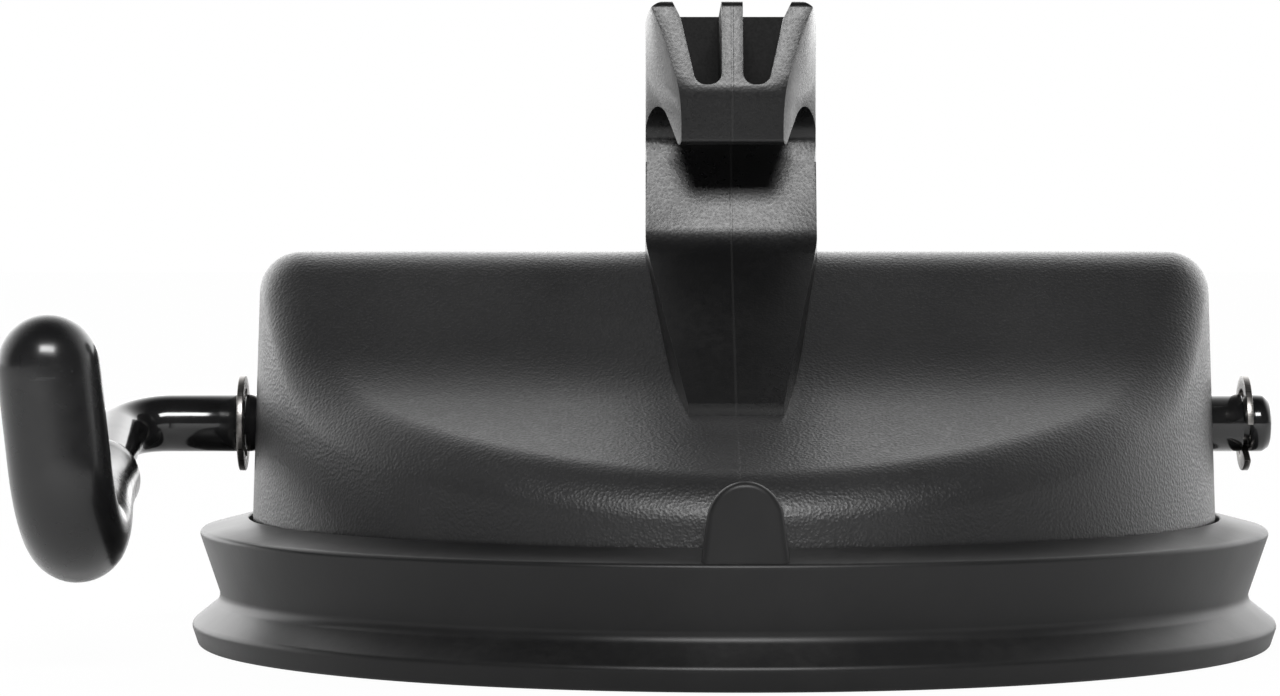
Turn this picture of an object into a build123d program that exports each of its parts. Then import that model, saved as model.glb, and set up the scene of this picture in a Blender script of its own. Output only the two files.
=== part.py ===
from build123d import *
import math
import os

# Lever-locked vacuum suction mount.
# Origin: centre of the pad's sealing plane. +Z up, +X along the lever rod away from
# the lever, -Y towards the front, where the release tab and the lever are.
# Turning the lever over to the back turns a spiral cam, which lifts the steel plate
# bonded to the pad's membrane and so draws the vacuum.

# ---- driving dimensions (mm) ----

# rubber pad
pad_radius = 60.0
pad_flange_height = 2.4
pad_edge_undercut = 0.8
neck_radius = 56.6
neck_height = 5.1
rim_radius = 59.15
rim_height = 12.6
rim_top = 14.0
membrane_thickness = 3.2
membrane_radius = 44.0
seat_height = 6.0
seat_inner_radius = 46.0
rim_wall_gap = 0.2
rim_corner_radius = 0.5
neck_corner_radius = 1.2

# release tab on the pad's rim
tab_top = 20.8
tab_root_width = 9.2
tab_tip_width = 6.6
tab_thickness = 2.1
tab_setback = 0.3
tab_root_height = 11.6

# housing
housing_foot_radius = 53.4
housing_draft = 1.0
ridge_top = 43.1
ridge_half_width = 5.5
brow_radius = 9.0
steep_angle = 42.0
valley_start = 19.9
valley_radius = 29.0
shallow_angle = 18.0
housing_wall = 3.0
shoulder_radius = 4.5
foot_flange_width = 1.8
foot_flange_height = 2.0
rib_offset = 24.0
rib_thickness = 2.2
rib_clearance = 2.5

# lever rod and its bearings
rod_radius = 3.175
rod_height = 24.1
rod_end_x = 59.5
rod_chamfer = 0.8
lever_x = -68.3
lever_reach = 44.0
lever_drop = 11.9
grip_lean = 2.2
grip_top = 37.1
rod_bend_radius = 6.0
grip_bend_radius = 7.0
grip_radius = 5.25
sleeve_radius = 4.4
sleeve_start = 19.0
rod_end_cover = 2.5
bush_length = 8.0
bush_wall = 1.3
bush_setback = 0.5
bush_boss_wall = 2.5
running_clearance = 0.05
fit_clearance = 0.02

# retaining clips on the rod
clip_radius = 5.3
clip_thickness = 0.7
clip_ring_width = 1.5
clip_opening = 4.4
groove_radius = 2.45
groove_side_clearance = 0.05
clip_right_x = 56.8
clip_left_x = -54.45

# cam and lifting gear
lever_travel = 165.0
lift = 3.6
cam_base_radius = rod_radius + 1.625
cam_width = 8.0
cam_dwell = 120.0
cam_follower_gap = 0.1
cam_pin_radius = 1.2
cam_pin_cover = 1.0
cam_pin_setback = 0.3
follower_radius = 2.0
yoke_gap = 0.6
yoke_thickness = 2.0
yoke_depth = 16.0
yoke_base_top = 14.6
yoke_slot_clearance = 0.35
yoke_pin_cover = 3.2
yoke_bend_radius = 1.5
yoke_inner_bend_radius = 0.5
follower_overhang = 2.2
ring_radius = 3.4
ring_thickness = 0.8
stud_radius = 3.5
stud_spigot_radius = 2.5
plate_radius = 30.0
plate_thickness = 2.0

# guide plate across the housing's mouth
guide_plate_radius = 46.5
guide_plate_bottom = 9.8
guide_plate_thickness = 2.0
guide_rim_width = 1.8
guide_rim_height = 2.6
guide_hole_clearance = 0.08
guide_screw_circle = 40.0
guide_screw_count = 4
boss_radius = 4.0

# return springs
spring_offset = 18.0
spring_coil_radius = 3.6
spring_wire_radius = 0.45
spring_turns = 5.0
spring_pocket_clearance = 0.6
spring_pocket_wall = 1.5
spring_pocket_top = 17.0
spring_end_gap = 0.05

# screws
screw_radius = 1.5
screw_head_radius = 2.6
screw_head_height = 1.6
screw_clearance = 0.3
guide_screw_length = 11.0
arm_screw_length = 11.0
arm_screw_x = 5.6
arm_screw_y = 5.0
arm_screw_seat = ridge_top - 3.4
driver_recess_radius = 1.3
driver_recess_depth = 0.9

# hook arm; its heights are measured from the housing's ridge
arm_centre_x = -0.4
arm_half_width = 9.35
arm_top = ridge_top + 27.2
arm_back = 8.5
arm_back_top = ridge_top + 26.1
toe_reach = 33.3
toe_half_width = 5.0
toe_height = ridge_top - 15.6
column_foot_y = -9.0
column_foot_z = ridge_top + 0.9
throat_radius = 3.6
throat_y = -8.6
throat_z = ridge_top + 12.3
nose_front = -15.0
nose_lean = 2.4
nose_tip_z = ridge_top + 10.7
nose_lip_radius = 0.6
nose_brow_radius = 12.0
nose_top_radius = 0.9
nose_side_taper = 3.75
nose_top_taper = 0.45
nose_mid_taper = 2.5
nose_shoulder_y = -5.2
head_bottom = ridge_top + 9.9
wing_corner_radius = 2.2
pocket_floor = ridge_top + 17.8
pocket_side_wall = 2.85
pocket_front_wall = 2.2
pocket_back_wall = 3.3
finger_half_width = 1.15
slot_bottom = ridge_top + 18.1
slot_bend_z = ridge_top + 25.3
slot_bottom_inset = 2.6
slot_bend_inset = 0.95
slot_corner_share = 0.47
heel_reach = 19.0
heel_half_width = 7.0
heel_height = ridge_top - 5.6
heel_column_z = ridge_top + 6.9
peg_radius = 2.0
peg_y = -25.0
peg_depth = 3.0
peg_clearance = 0.1
column_foot_radius = 6.0
heel_hollow_radius = 8.0
foot_depth = 9.0

# ---- values worked out from them ----

rod_bore = rod_radius + running_clearance
bush_radius = rod_bore + bush_wall
bush_boss_radius = bush_radius + bush_boss_wall
rod_share_of_wall = (rod_height - seat_height) / (ridge_top - seat_height)
wall_radius_at_rod = housing_foot_radius - housing_draft * rod_share_of_wall
bush_outer_x = wall_radius_at_rod - bush_setback
follower_z = rod_height + cam_base_radius + cam_follower_gap + follower_radius
yoke_top = follower_z + yoke_pin_cover
yoke_inner = cam_width / 2 + yoke_gap
yoke_outer = yoke_inner + yoke_thickness
yoke_base_bottom = yoke_base_top - yoke_thickness
follower_half_length = yoke_outer + follower_overhang
rim_inner_radius = housing_foot_radius + rim_wall_gap
nose_half_width = arm_half_width - nose_side_taper
nose_top_half_width = arm_half_width - nose_top_taper
nose_mid_half_width = arm_half_width - nose_mid_taper
pocket_half_width = arm_half_width - pocket_side_wall
slot_bottom_half = pocket_half_width - slot_bottom_inset
slot_bend_half = pocket_half_width - slot_bend_inset
slot_corner_radius = slot_corner_share * (slot_bottom_half - finger_half_width)


# ---- small helpers ----

def flat_polygon(points):
    """Closed face with straight sides through the points."""
    return make_face(Polyline(*points, close=True))


def rounded_corner(face, corner, radius):
    """The face with the corner nearest to the given point rounded."""
    nearest = min(face.vertices(), key=lambda v: math.dist((v.X, v.Y), corner))
    return fillet(nearest, radius)


def turned(face):
    """A face drawn as (radius, height), turned into a solid about Z."""
    return revolve(Plane.XZ * face, Axis.Z)


def upright(radius, bottom, top, x=0.0, y=0.0):
    """A vertical cylinder between two heights."""
    return Pos(x, y, bottom) * Cylinder(radius, top - bottom, align=(Align.CENTER, Align.CENTER, Align.MIN))


def lengthwise(radius, start, end, y=0.0, z=rod_height):
    """A cylinder along X between two X positions."""
    along_x = Cylinder(radius, end - start, align=(Align.CENTER, Align.CENTER, Align.MIN))
    return Pos(start, y, z) * Rot(0, 90, 0) * along_x


def block(low, high):
    """A box between its lowest and highest corners."""
    size = [b - a for a, b in zip(low, high)]
    return Pos(*low) * Box(*size, align=(Align.MIN, Align.MIN, Align.MIN))


def side_prism(face, low_x, high_x):
    """A face drawn as (Y, Z), extruded along X."""
    return Pos(low_x, 0, 0) * extrude(Plane.YZ * face, high_x - low_x)


# ---- rubber pad ----

def make_release_tab():
    """Rounded tongue standing on the front of the rim, for peeling the pad off."""
    outer = rim_radius - tab_setback
    root = tab_root_width / 2
    tip = tab_tip_width / 2
    shoulder = tab_top - tip
    outline = make_face(Curve() + [
        Line((-root, tab_root_height), (root, tab_root_height)),
        Line((root, tab_root_height), (tip, shoulder)),
        ThreePointArc((tip, shoulder), (0, tab_top), (-tip, shoulder)),
        Line((-tip, shoulder), (-root, tab_root_height)),
    ])
    tongue = extrude(Plane.XZ * outline, outer + 5)
    ring = upright(outer, tab_root_height, tab_top) - upright(outer - tab_thickness, 0, tab_top + 1)
    return tongue & ring


def make_suction_cup():
    """Flat pad with a V-grooved edge and an upstanding rim that grips the housing."""
    groove_radius_inside = housing_foot_radius + foot_flange_width + rim_wall_gap
    groove_top = seat_height + foot_flange_height + rim_wall_gap
    section = flat_polygon([
        (0, 0),
        (pad_radius - pad_edge_undercut, 0),
        (pad_radius, pad_flange_height),
        (neck_radius, neck_height),
        (rim_radius, rim_height),
        (rim_inner_radius, rim_top),
        (rim_inner_radius, groove_top),
        (groove_radius_inside, groove_top),
        (groove_radius_inside, seat_height),
        (seat_inner_radius, seat_height),
        (membrane_radius, membrane_thickness),
        (0, membrane_thickness),
    ])
    section = rounded_corner(section, (neck_radius, neck_height), neck_corner_radius)
    section = rounded_corner(section, (pad_radius, pad_flange_height), rim_corner_radius)
    section = rounded_corner(section, (rim_radius, rim_height), rim_corner_radius)
    section = rounded_corner(section, (membrane_radius, membrane_thickness), neck_corner_radius)
    return turned(section) + make_release_tab()


# ---- housing ----

def housing_outline(inset):
    """Half of the housing's cross-section in (Y, Z), front side, moved inwards by inset."""
    steep = math.radians(steep_angle)
    shallow = math.radians(shallow_angle)

    def off_normal(point, angle):
        return (point[0] + inset * math.sin(angle), point[1] - inset * math.cos(angle))

    def on_arc(centre, radius, angle, side):
        return (centre[0] - side * radius * math.sin(angle), centre[1] + side * radius * math.cos(angle))

    brow_centre = (-ridge_half_width, ridge_top - brow_radius)
    brow = [on_arc(brow_centre, brow_radius - inset, a, 1) for a in (0, steep / 2, steep)]
    brow_end_y = -ridge_half_width - brow_radius * math.sin(steep)
    brow_end_z = ridge_top - brow_radius * (1 - math.cos(steep))
    valley_top = (-valley_start, brow_end_z - (valley_start + brow_end_y) * math.tan(steep))
    valley_centre = (
        valley_top[0] - valley_radius * math.sin(steep),
        valley_top[1] + valley_radius * math.cos(steep),
    )
    angles = (steep, (steep + shallow) / 2, shallow)
    valley = [on_arc(valley_centre, valley_radius + inset, a, -1) for a in angles]
    run_out = 2 * housing_foot_radius
    slope_end = (
        valley[2][0] - run_out * math.cos(shallow),
        valley[2][1] - run_out * math.sin(shallow),
    )
    return brow, valley, slope_end


def housing_surface_height(y):
    """Height of the housing's outer surface over the middle of its slope."""
    brow, valley, _ = housing_outline(0)
    away = -abs(y)
    if away > brow[0][0]:
        return ridge_top
    if away > brow[2][0]:
        return ridge_top - brow_radius + math.sqrt(brow_radius ** 2 - (away - brow[0][0]) ** 2)
    if away > valley[0][0]:
        return brow[2][1] + (away - brow[2][0]) * math.tan(math.radians(steep_angle))
    if away > valley[2][0]:
        share = (valley[0][0] - away) / (valley[0][0] - valley[2][0])
        angle = math.radians(steep_angle + share * (shallow_angle - steep_angle))
        centre_z = valley[0][1] + valley_radius * math.cos(math.radians(steep_angle))
        return centre_z - valley_radius * math.cos(angle)
    return valley[2][1] + (away - valley[2][0]) * math.tan(math.radians(shallow_angle))


def housing_form(inset, bottom):
    """Solid form of the housing: a drafted drum cut by the ridge and its two slopes."""
    drum = Solid.make_cone(
        housing_foot_radius - inset,
        housing_foot_radius - housing_draft - inset,
        ridge_top - seat_height,
        Plane.XY.offset(seat_height),
    )
    brow, valley, slope_end = housing_outline(inset)
    floor_z = seat_height - 40
    front = [
        Line((0, ridge_top - inset), brow[0]),
        ThreePointArc(*brow),
        Line(brow[2], valley[0]),
        ThreePointArc(*valley),
        Line(valley[2], slope_end),
        Line(slope_end, (slope_end[0], floor_z)),
        Line((slope_end[0], floor_z), (0, floor_z)),
        Line((0, floor_z), (0, ridge_top - inset)),
    ]
    half = make_face(Curve() + front)
    outline = half + mirror(half, Plane.YZ)
    prism = side_prism(outline, -pad_radius, pad_radius)
    return (Part() + drum) & prism & block((-80, -80, bottom), (80, 80, 80))


def shoulder_edges(form):
    """The edges where the drum's wall meets the ridge and the slopes."""
    found = []
    for edge in form.edges():
        middle = edge.position_at(0.5)
        start = edge.position_at(0)
        end = edge.position_at(1)
        upright_edge = math.dist((start.X, start.Y), (end.X, end.Y)) < 1.0 and edge.length < 60
        on_wall = math.hypot(middle.X, middle.Y) > housing_foot_radius - 2 * housing_draft
        if on_wall and not upright_edge and middle.Z > seat_height + 4:
            found.append(edge)
    return found


def housing_solid():
    """The housing's outer form with its soft shoulder."""
    form = housing_form(0, seat_height)
    return fillet(shoulder_edges(form), shoulder_radius)


def guide_screw_places():
    """The guide plate's screw positions, between the axes."""
    step = 360 / guide_screw_count
    angles = [math.radians(step * (i + 0.5)) for i in range(guide_screw_count)]
    return [(guide_screw_circle * math.cos(a), guide_screw_circle * math.sin(a)) for a in angles]


def arm_screw_places():
    """The two arm screws, behind the column's middle."""
    return [(arm_centre_x + side * arm_screw_x, arm_screw_y) for side in (-1, 1)]


def make_housing(outer):
    """Moulded shell with rod bosses, screw bosses, stiffening ribs and a foot flange."""
    inner = housing_form(housing_wall, seat_height - 1)
    body = outer - inner
    foot = upright(housing_foot_radius + foot_flange_width, seat_height, seat_height + foot_flange_height)
    body += foot - upright(housing_foot_radius - housing_wall, 0, ridge_top)

    inside = housing_form(housing_wall / 2, seat_height)
    guide_top = guide_plate_bottom + guide_plate_thickness
    additions = []
    for side in (-1, 1):
        boss_inner = bush_outer_x - bush_length
        ends = sorted((side * boss_inner, side * bush_outer_x))
        additions.append(lengthwise(bush_boss_radius, *ends))
        rib_x = side * rib_offset
        rib_bottom = rod_height + rod_radius + rib_clearance
        rib = block(
            (rib_x - rib_thickness / 2, -housing_foot_radius, rib_bottom),
            (rib_x + rib_thickness / 2, housing_foot_radius, ridge_top),
        )
        additions.append(rib)
    for x, y in guide_screw_places():
        additions.append(upright(boss_radius, guide_top, ridge_top, x, y))
    for x, y in arm_screw_places():
        additions.append(upright(screw_head_radius + 0.8, arm_screw_seat, ridge_top, x, y))
    for addition in additions:
        body += addition & inside

    for side in (-1, 1):
        ends = sorted((side * (bush_outer_x - bush_length - 1), side * pad_radius))
        body -= lengthwise(bush_radius + fit_clearance, *ends)
    pilot_top = guide_top + guide_screw_length
    for x, y in guide_screw_places():
        body -= upright(screw_radius + fit_clearance, guide_top - 1, pilot_top, x, y)
    for x, y in arm_screw_places():
        body -= upright(screw_radius + screw_clearance, arm_screw_seat - 1, ridge_top + 1, x, y)
    peg_hole = upright(peg_radius + peg_clearance, 0, ridge_top, arm_centre_x, peg_y)
    return body - peg_hole


# ---- hook arm ----

def tangent_from(corner, centre, radius):
    """Where a straight line up from the corner touches the far side of a circle."""
    distance = math.dist(corner, centre)
    towards_centre = math.atan2(centre[1] - corner[1], centre[0] - corner[0])
    angle = towards_centre + math.asin(radius / distance)
    length = math.sqrt(distance**2 - radius**2)
    return (corner[0] + length * math.cos(angle), corner[1] + length * math.sin(angle))


def arm_side_outline():
    """The arm seen from the side, in (Y, Z): beaked nose, throat, column, toe and heel."""
    nose_tip = (nose_front, nose_tip_z)
    throat_centre = (throat_y, throat_z)
    throat_front = tangent_from(nose_tip, throat_centre, throat_radius)
    throat_roof = (throat_y, throat_z + throat_radius)
    throat_back = (throat_y + throat_radius, throat_z)
    nose_top_y = nose_front + nose_lean
    lines = [
        Line(nose_tip, (nose_front, pocket_floor)),
        Line((nose_front, pocket_floor), (nose_top_y, arm_top)),
        Line((nose_top_y, arm_top), (arm_back, arm_back_top)),
        Line((arm_back, arm_back_top), (arm_back, heel_column_z)),
        Line((arm_back, heel_column_z), (heel_reach, heel_height)),
        Line((heel_reach, heel_height), (heel_reach, heel_height - foot_depth)),
        Line((heel_reach, heel_height - foot_depth), (-toe_reach, toe_height - foot_depth)),
        Line((-toe_reach, toe_height - foot_depth), (-toe_reach, toe_height)),
        Line((-toe_reach, toe_height), (column_foot_y, column_foot_z)),
        Line((column_foot_y, column_foot_z), throat_back),
        ThreePointArc(throat_back, throat_roof, throat_front),
        Line(throat_front, nose_tip),
    ]
    outline = make_face(Curve() + lines)
    outline = rounded_corner(outline, (column_foot_y, column_foot_z), column_foot_radius)
    outline = rounded_corner(outline, (nose_top_y, arm_top), nose_top_radius)
    outline = rounded_corner(outline, (nose_front, pocket_floor), nose_brow_radius)
    outline = rounded_corner(outline, nose_tip, nose_lip_radius)
    return rounded_corner(outline, (arm_back, heel_column_z), heel_hollow_radius)


def arm_head_form():
    """The head's taper: full width at the column, narrowing to the nose front."""
    def section(height, half_width):
        points = [
            (-arm_half_width, arm_back),
            (arm_half_width, arm_back),
            (arm_half_width, nose_shoulder_y),
            (half_width, nose_front),
            (-half_width, nose_front),
            (-arm_half_width, nose_shoulder_y),
        ]
        return Pos(0, 0, height) * flat_polygon(points)

    sections = [
        section(head_bottom, nose_half_width),
        section(throat_z + throat_radius, nose_half_width),
        section((pocket_floor + arm_top) / 2, nose_mid_half_width),
        section(arm_top, nose_top_half_width),
    ]
    return loft(sections)


def arm_foot_form():
    """The foot's plan: full width under the column, tapering to the toe and the heel."""
    plan = flat_polygon([
        (-toe_half_width, -toe_reach),
        (toe_half_width, -toe_reach),
        (arm_half_width, column_foot_y),
        (arm_half_width, arm_back),
        (heel_half_width, heel_reach),
        (-heel_half_width, heel_reach),
        (-arm_half_width, arm_back),
        (-arm_half_width, column_foot_y),
    ])
    return extrude(plan, head_bottom)


def arm_front_form():
    """The arm's front view: a tall block with rounded top corners."""
    outline = Rectangle(2 * arm_half_width, 2 * arm_top)
    top_corners = outline.vertices().sort_by(Axis.Y)[-2:]
    outline = fillet(top_corners, wing_corner_radius)
    return extrude(Plane.XZ * outline, pad_radius, both=True)


def pocket_well(side):
    """One of the two wells behind the nose; its front leans back with the nose."""
    low_x, high_x = sorted((side * finger_half_width, side * pocket_half_width))
    front = nose_front + pocket_front_wall
    back = arm_back - pocket_back_wall
    profile = flat_polygon([
        (front, pocket_floor),
        (back, pocket_floor),
        (back, arm_top + 1),
        (front + nose_lean, arm_top + 1),
    ])
    return side_prism(profile, low_x, high_x)


def pocket_slot(side):
    """One of the two tapered slots between the nose's fingers, seen from the front."""
    outline = flat_polygon([
        (side * finger_half_width, slot_bottom),
        (side * slot_bottom_half, slot_bottom),
        (side * slot_bend_half, slot_bend_z),
        (side * pocket_half_width, arm_top),
        (side * pocket_half_width, arm_top + 1),
        (side * finger_half_width, arm_top + 1),
    ])
    for x in (finger_half_width, slot_bottom_half):
        outline = rounded_corner(outline, (side * x, slot_bottom), slot_corner_radius)
    through_wall = extrude(Plane.XZ * outline, 4 * pocket_front_wall)
    return Pos(0, nose_front + 3 * pocket_front_wall, 0) * through_wall


def make_hook_arm(outer):
    """Moulded arm: a hooked nose over a throat, an open pocket, and a saddle foot."""
    reach = arm_half_width
    side_form = side_prism(arm_side_outline(), -reach, reach)
    arm = side_form & (arm_head_form() + arm_foot_form()) & arm_front_form()
    for side in (-1, 1):
        arm -= pocket_well(side)
        arm -= pocket_slot(side)
    arm = Pos(arm_centre_x, 0, 0) * arm
    arm -= outer
    seat = housing_surface_height(peg_y)
    peg = upright(peg_radius, seat - peg_depth, seat + 1, arm_centre_x, peg_y)
    arm += peg
    hole_radius = screw_radius + fit_clearance
    hole_top = arm_screw_seat + arm_screw_length + 1
    for x, y in arm_screw_places():
        arm -= upright(hole_radius, ridge_top - 1, hole_top, x, y)
    return arm


# ---- screws ----

def make_screw(length):
    """Pan-head screw pointing up, with its head's top side at Z = 0."""
    head = upright(screw_head_radius, -screw_head_height, 0)
    head = fillet(head.edges().sort_by(Axis.Z)[0], 0.5)
    shank = upright(screw_radius, 0, length)
    tip = shank.edges().sort_by(Axis.Z)[-1]
    shank = chamfer(tip, 0.6)
    low = -screw_head_height
    recess = upright(driver_recess_radius, low, low + driver_recess_depth)
    slot_a = Box(2 * driver_recess_radius, 0.6, 2 * driver_recess_depth)
    slot_b = Box(0.6, 2 * driver_recess_radius, 2 * driver_recess_depth)
    cross = Pos(0, 0, low) * (slot_a + slot_b)
    return head + shank - (cross & recess)


def make_screw_group(places, length, seat):
    """Identical screws at several places, as separate solids of one node."""
    return Compound([Pos(x, y, seat) * make_screw(length) for x, y in places])


# ---- lever rod ----

def lever_corners():
    """The rod's centre line: along the housing, forward and down, then up into the grip."""
    return [
        Vector(rod_end_x, 0, rod_height),
        Vector(lever_x, 0, rod_height),
        Vector(lever_x, -lever_reach, rod_height - lever_drop),
        Vector(lever_x - grip_lean, -lever_reach, grip_top - grip_radius),
    ]


def corner_tangents(corners, index, radius):
    """Where an arc of the given radius leaves the two runs that meet at a corner."""
    corner = corners[index]
    back = (corners[index - 1] - corner).normalized()
    ahead = (corners[index + 1] - corner).normalized()
    half_angle = math.radians(back.get_angle(ahead)) / 2
    cut = radius / math.tan(half_angle)
    centre = corner + (back + ahead).normalized() * (radius / math.sin(half_angle))
    middle = centre + (corner - centre).normalized() * radius
    return corner + back * cut, middle, corner + ahead * cut


def swept_tube(path, radius):
    """A round bar along a path of straight runs and tangent arcs."""
    section = Plane(origin=path @ 0, z_dir=path % 0) * Circle(radius)
    return sweep(section, path=path)


def make_lever_rod():
    """Round steel bar: the shaft through the housing, two bends and the grip's core."""
    corners = lever_corners()
    first = corner_tangents(corners, 1, rod_bend_radius)
    second = corner_tangents(corners, 2, grip_bend_radius)
    up = (corners[3] - corners[2]).normalized()
    core_end = corners[3] - up * rod_end_cover
    shaft = lengthwise(rod_radius, first[0].X, rod_end_x)
    end_edge = shaft.edges().sort_by(Axis.X)[-1]
    shaft = chamfer(end_edge, rod_chamfer)
    path = Wire([
        Edge.make_three_point_arc(*first),
        Edge.make_line(first[2], second[0]),
        Edge.make_three_point_arc(*second),
        Edge.make_line(second[2], core_end),
    ])
    rod = shaft + swept_tube(path, rod_radius)
    for clip_x in (clip_left_x, clip_right_x):
        half = clip_thickness / 2 + groove_side_clearance
        ring = lengthwise(2 * rod_radius, clip_x - half, clip_x + half)
        rod -= ring - lengthwise(groove_radius, clip_x - half, clip_x + half)
    return rod - make_cam_pin(fit_clearance)


def make_lever_grip(rod):
    """Dipped vinyl grip: a thick capsule over the end, a thinner sleeve along the arm."""
    corners = lever_corners()
    second = corner_tangents(corners, 2, grip_bend_radius)
    along_arm = (corners[2] - corners[1]).normalized()
    sleeve_from = corners[1] + along_arm * sleeve_start
    sleeve = swept_tube(Wire([Edge.make_line(sleeve_from, second[0])]), sleeve_radius)
    path = Wire([
        Edge.make_three_point_arc(*second),
        Edge.make_line(second[2], corners[3]),
    ])
    thick = swept_tube(path, grip_radius)
    top = Pos(*corners[3]) * Sphere(grip_radius)
    heel = Pos(*second[0]) * Sphere(grip_radius)
    return sleeve + thick + top + heel - rod


def make_bush(side):
    """Plain bush for the rod, pressed into the housing's boss."""
    ends = sorted((side * (bush_outer_x - bush_length), side * bush_outer_x))
    return lengthwise(bush_radius, *ends) - lengthwise(rod_bore, *ends)


def make_rod_clip(centre_x, opening_angle):
    """Three-pronged retaining clip, snapped sideways into the rod's groove."""
    ring = Circle(clip_radius) - Circle(clip_radius - clip_ring_width)
    prong = Pos(0, (clip_radius - 0.5) / 2) * Rectangle(2.6, clip_radius - 0.5)
    for angle in (0, 125, -125):
        ring += Rot(0, 0, angle) * prong
    ring -= Circle(groove_radius + fit_clearance)
    ring -= Pos(0, -clip_radius) * Rectangle(clip_opening, 2 * clip_radius)
    flat_clip = extrude(ring, clip_thickness / 2, both=True)
    upright_clip = Rot(opening_angle, 0, 0) * Rot(0, 90, 0) * flat_clip
    return Pos(centre_x, 0, rod_height) * upright_clip


# ---- cam and lifting gear ----

def cam_radius_at(angle):
    """Cam radius at an angle from straight up, positive towards the back."""
    if -lever_travel <= angle <= 0:
        return cam_base_radius + lift * (-angle / lever_travel)
    if angle <= cam_dwell:
        return cam_base_radius
    return_span = 360 - lever_travel - cam_dwell
    part = (angle - cam_dwell) / return_span
    return cam_base_radius + lift * (1 - math.cos(math.pi * part)) / 2


def cam_track(first, last, count):
    """Points of the cam's outline between two angles."""
    angles = [first + (last - first) * i / count for i in range(count + 1)]
    polar = [(math.radians(a), cam_radius_at(a)) for a in angles]
    return [(r * math.sin(a), r * math.cos(a)) for a, r in polar]


def make_cam():
    """Spiral cam on the rod: its radius grows evenly over the lever's travel."""
    rise = Spline(*cam_track(-lever_travel, 0, 16))
    dwell = ThreePointArc(*cam_track(0, cam_dwell, 2))
    fall_points = cam_track(cam_dwell, 360 - lever_travel, 8)
    fall = Spline(*fall_points)
    face = make_face(Curve() + [rise, dwell, fall])
    body = side_prism(face, -cam_width / 2, cam_width / 2)
    body = Pos(0, 0, rod_height) * body
    body -= lengthwise(rod_radius + fit_clearance, -cam_width, cam_width)
    return body - make_cam_pin(fit_clearance)


def make_cam_pin(clearance=0.0):
    """Cross pin that keys the cam to the rod, driven in from the cam's dwell side."""
    far_end = rod_radius + cam_pin_cover
    near_end = cam_base_radius - cam_pin_setback
    length = near_end + far_end
    pin = Cylinder(cam_pin_radius + clearance, length + 4 * clearance)
    middle_y = (near_end - far_end) / 2
    return Pos(0, middle_y, rod_height) * Rot(90, 0, 0) * pin


def make_lift_yoke():
    """Bent steel stirrup round the cam, slotted so that it slides up past the rod."""
    half_depth = yoke_depth / 2
    shell = block((-yoke_outer, -half_depth, yoke_base_bottom), (yoke_outer, half_depth, yoke_top))
    space = block((-yoke_inner, -pad_radius, yoke_base_top), (yoke_inner, pad_radius, ridge_top))
    yoke = shell - space
    along_y = yoke.edges().filter_by(Axis.Y)
    inner_bends = along_y.filter_by_position(Axis.Z, yoke_base_top - 0.01, yoke_base_top + 0.01)
    yoke = fillet(inner_bends, yoke_inner_bend_radius)
    outer_bends = yoke.edges().filter_by(Axis.Y).sort_by(Axis.Z)[:2]
    yoke = fillet(outer_bends, yoke_bend_radius)
    crown = lengthwise(half_depth, -yoke_outer, yoke_outer, 0, yoke_top - half_depth)
    crown += block((-yoke_outer, -half_depth, 0), (yoke_outer, half_depth, yoke_top - half_depth))
    yoke = yoke & crown
    slot_half = rod_radius + yoke_slot_clearance
    slot_low = rod_height - lift
    slot = lengthwise(slot_half, -yoke_depth, yoke_depth, 0, slot_low)
    slot += lengthwise(slot_half, -yoke_depth, yoke_depth, 0, rod_height)
    slot += block((-yoke_depth, -slot_half, slot_low), (yoke_depth, slot_half, rod_height))
    yoke -= slot
    yoke -= lengthwise(follower_radius + fit_clearance, -yoke_depth, yoke_depth, 0, follower_z)
    return yoke - upright(stud_spigot_radius + fit_clearance, 0, rod_height - rod_radius)


def make_follower_pin():
    """Hardened pin across the yoke's ears, which rides on the cam."""
    pin = lengthwise(follower_radius, -follower_half_length, follower_half_length, 0, follower_z)
    ends = pin.edges().filter_by(GeomType.CIRCLE)
    return chamfer(ends, 0.3)


def make_follower_clips():
    """A push-on ring outside each of the yoke's ears."""
    rings = []
    for side in (-1, 1):
        ends = sorted((side * yoke_outer, side * (yoke_outer + ring_thickness)))
        ring = lengthwise(ring_radius, *ends, 0, follower_z)
        rings.append(ring - lengthwise(follower_radius + fit_clearance, *ends, 0, follower_z))
    return Compound(rings)


def make_lift_stud():
    """Shouldered stud riveted between the yoke and the insert plate."""
    plate_top = membrane_thickness + plate_thickness
    stud = upright(stud_radius, plate_top, yoke_base_bottom)
    stud += upright(stud_spigot_radius, membrane_thickness, yoke_base_top)
    return stud


def make_insert_plate():
    """Steel disc bonded to the top of the pad's membrane."""
    plate_top = membrane_thickness + plate_thickness
    plate = upright(plate_radius, membrane_thickness, plate_top)
    rim_edge = plate.edges().sort_by(Axis.Z)[-1]
    plate = fillet(rim_edge, 0.6)
    return plate - upright(stud_spigot_radius + fit_clearance, 0, plate_top + 1)


# ---- guide plate and springs ----

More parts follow.
